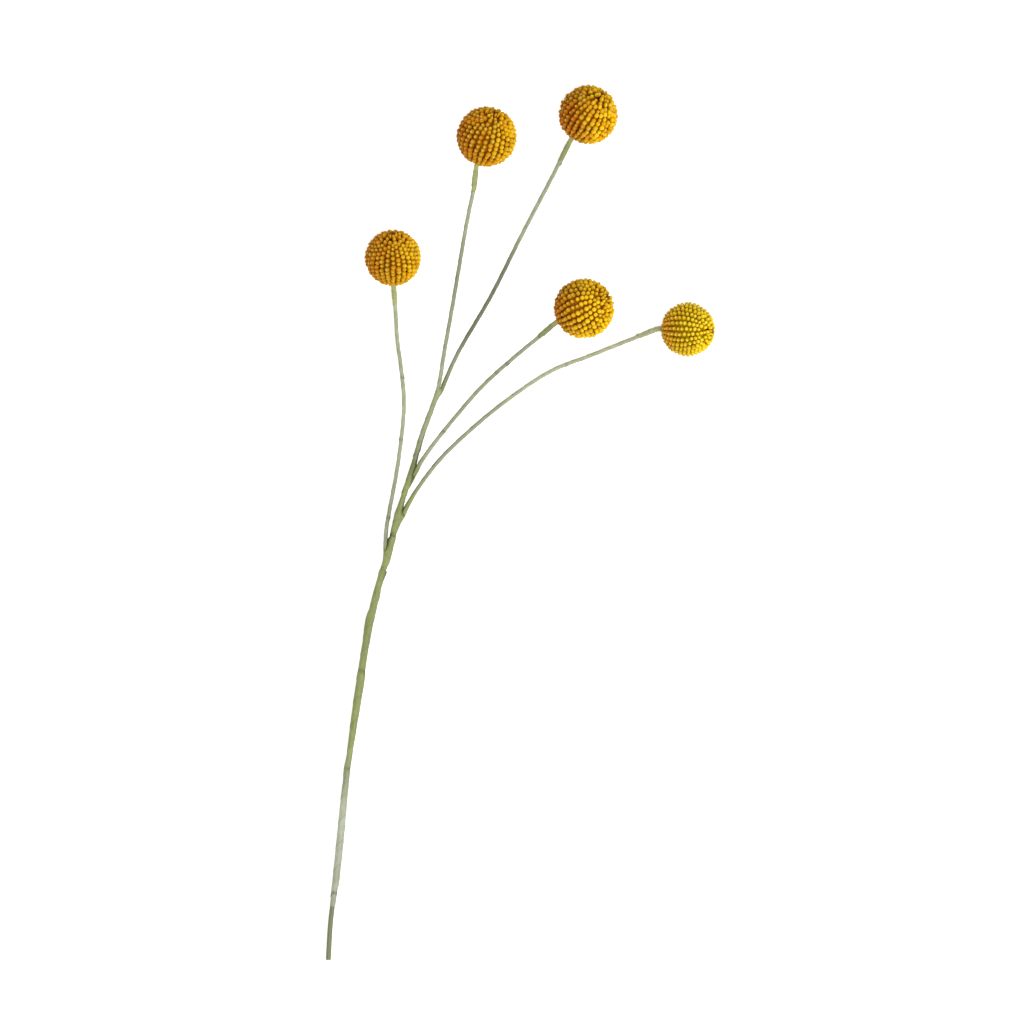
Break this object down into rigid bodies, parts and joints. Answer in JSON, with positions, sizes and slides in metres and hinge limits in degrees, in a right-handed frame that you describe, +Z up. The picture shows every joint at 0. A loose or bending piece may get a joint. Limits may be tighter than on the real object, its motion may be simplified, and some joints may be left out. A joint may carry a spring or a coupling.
{
  "type": "billy buttons stem",
  "caption": "Branching spray of round yellow flower heads on slender green stalks taped to one stem rod, laid on its side.",
  "frame": {"origin": "on the surface that the spray lies on, under the middle of its bounding box", "axes": "+X across the spray, +Y along the stem from the cut end towards the heads, +Z up from the surface"},
  "size_m": [0.2551, 0.5744, 0.0568],
  "materials": {
    "rod": "moulded grey-green coating, satin",
    "tape": "wound florist's tape, slightly waxy",
    "stalk": "tape-covered wire, slightly waxy",
    "neck": "green tape, slightly waxy",
    "receptacle": "dark olive-brown ground, dull",
    "florets": "golden yellow, dull and grainy"
  },
  "bodies": {
    "root": {"stem_rod": "rod", "wrap_foot": "tape", "wrap_joint_1": "tape", "wrap_joint_3": "tape", "wrap_joint_4": "tape", "wrap_joint_5": "tape", "stalk_1": "stalk", "stalk_2": "stalk", "stalk_3": "stalk", "stalk_4": "stalk", "stalk_5": "stalk", "neck_1": "neck", "neck_2": "neck", "neck_3": "neck", "neck_4": "neck", "neck_5": "neck", "receptacle_1": "receptacle", "receptacle_2": "receptacle", "receptacle_3": "receptacle", "receptacle_4": "receptacle", "receptacle_5": "receptacle", "florets_1": "florets", "florets_2": "florets", "florets_3": "florets", "florets_4": "florets", "florets_5": "florets"}
  },
  "joints": []
}
